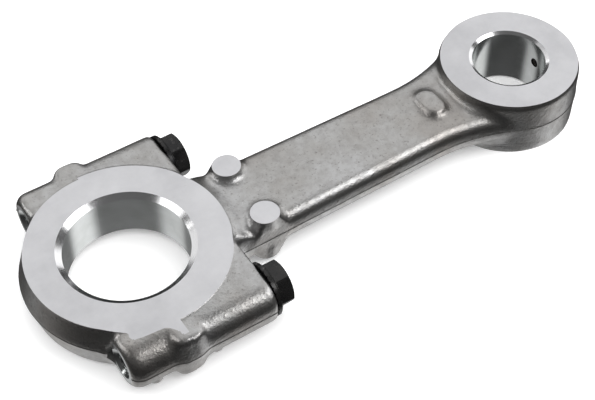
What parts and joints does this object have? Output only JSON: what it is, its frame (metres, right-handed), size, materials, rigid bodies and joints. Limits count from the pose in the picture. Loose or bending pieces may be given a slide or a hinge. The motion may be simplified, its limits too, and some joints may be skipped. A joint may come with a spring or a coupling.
{
  "type": "connecting rod",
  "caption": "Die-cast aluminium connecting rod for a small piston compressor, with a split big end, a cap held by flange bolts, and a plain small-end bore",
  "frame": {"origin": "centre of the big-end bore at the rod's mid thickness, on the plane where the cap parts from the rod", "axes": "+Z along the big-end bore, +X from the big end to the small end, +Y across the rod towards the left bolt"},
  "size_m": [0.1977, 0.0812, 0.0204],
  "materials": {
    "cast_aluminium": "die-cast skin with milled faces and honed bores",
    "black_steel": "black oxide, lightly oiled",
    "washer_steel": "black oxide, worn on its teeth",
    "bright_steel": "ground steel"
  },
  "bodies": {
    "rod": {"rod_body": "cast_aluminium", "locating_sleeve_left": "bright_steel", "locating_sleeve_right": "bright_steel"},
    "cap": {"big_end_cap": "cast_aluminium"},
    "washer_left": {"lock_washer_left": "washer_steel"},
    "bolt_left": {"cap_bolt_left": "black_steel"},
    "washer_right": {"lock_washer_right": "washer_steel"},
    "bolt_right": {"cap_bolt_right": "black_steel"}
  },
  "joints": [
    {"name": "cap_removal", "type": "slide", "parent": "rod", "child": "cap", "axis": [-1, 0, 0], "range_m": [0, 0.05]},
    {"name": "bolt_travel_left", "type": "slide", "parent": "rod", "child": "washer_left", "axis": [1, 0, 0], "range_m": [0, 0.01562]},
    {"name": "bolt_turn_left", "type": "hinge", "parent": "washer_left", "child": "bolt_left", "pos_m": [0.03, 0.0302, 0], "axis": [1, 0, 0], "range_deg": [0, 4500.5]},
    {"name": "bolt_travel_right", "type": "slide", "parent": "rod", "child": "washer_right", "axis": [1, 0, 0], "range_m": [0, 0.01562]},
    {"name": "bolt_turn_right", "type": "hinge", "parent": "washer_right", "child": "bolt_right", "pos_m": [0.03, -0.0302, 0], "axis": [1, 0, 0], "range_deg": [0, 4500.5]}
  ],
  "couplings": [
    {"joint": "bolt_turn_left", "follows": "bolt_travel_left", "rad_per_m": 5026.5},
    {"joint": "bolt_turn_right", "follows": "bolt_travel_right", "rad_per_m": 5026.5}
  ]
}
